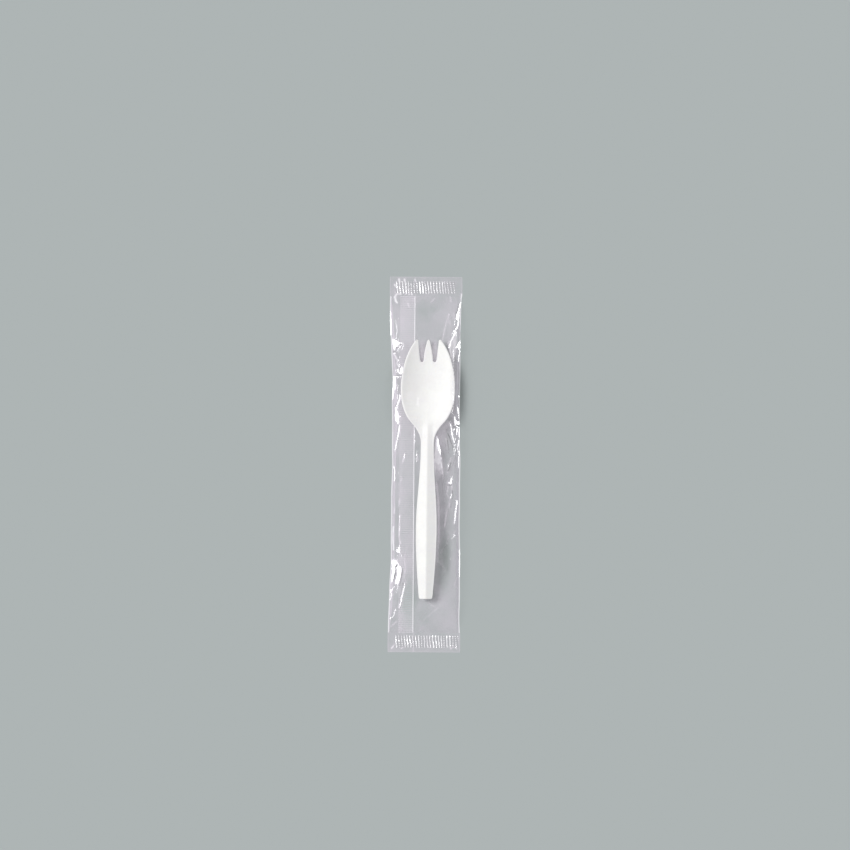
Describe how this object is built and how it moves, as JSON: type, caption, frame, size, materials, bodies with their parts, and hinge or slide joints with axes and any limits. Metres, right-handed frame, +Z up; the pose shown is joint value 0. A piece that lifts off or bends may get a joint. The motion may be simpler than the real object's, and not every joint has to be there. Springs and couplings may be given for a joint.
{
  "type": "wrapped spork",
  "caption": "White moulded plastic spork with pointed tines and a ridged handle, loose in a clear film sleeve with crimped end seals and a fin seal along its back.",
  "frame": {"origin": "below the middle of the sleeve, on the plane that its back rests on", "axes": "+Y along the length, towards the tines; +Z up, out of the front film; +X to the right, seen from the front"},
  "size_m": [0.041, 0.2116, 0.0091],
  "materials": {
    "white_plastic": "semi-gloss moulded",
    "clear_film": "clear glossy film",
    "sealed_film": "clear glossy film, two plies"
  },
  "bodies": {
    "sleeve": {"front_film": "clear_film", "back_film_left": "clear_film", "back_film_right": "clear_film", "fin_seal": "sealed_film"},
    "spork": {"spork": "white_plastic"},
    "top_flap": {"top_end_seal": "sealed_film"},
    "bottom_flap": {"bottom_end_seal": "sealed_film"}
  },
  "joints": [
    {"name": "spork_slide", "type": "slide", "parent": "sleeve", "child": "spork", "axis": [0, 1, 0], "range_m": [-0.009, 0.014]},
    {"name": "top_fold", "type": "hinge", "parent": "sleeve", "child": "top_flap", "pos_m": [0, 0.09517, 0.00012], "axis": [1, 0, 0], "range_deg": [-110, 110], "stiffness_Nm_per_rad": 0.0003},
    {"name": "bottom_fold", "type": "hinge", "parent": "sleeve", "child": "bottom_flap", "pos_m": [0, -0.09517, 0.00012], "axis": [-1, 0, 0], "range_deg": [-110, 110], "stiffness_Nm_per_rad": 0.0003}
  ]
}
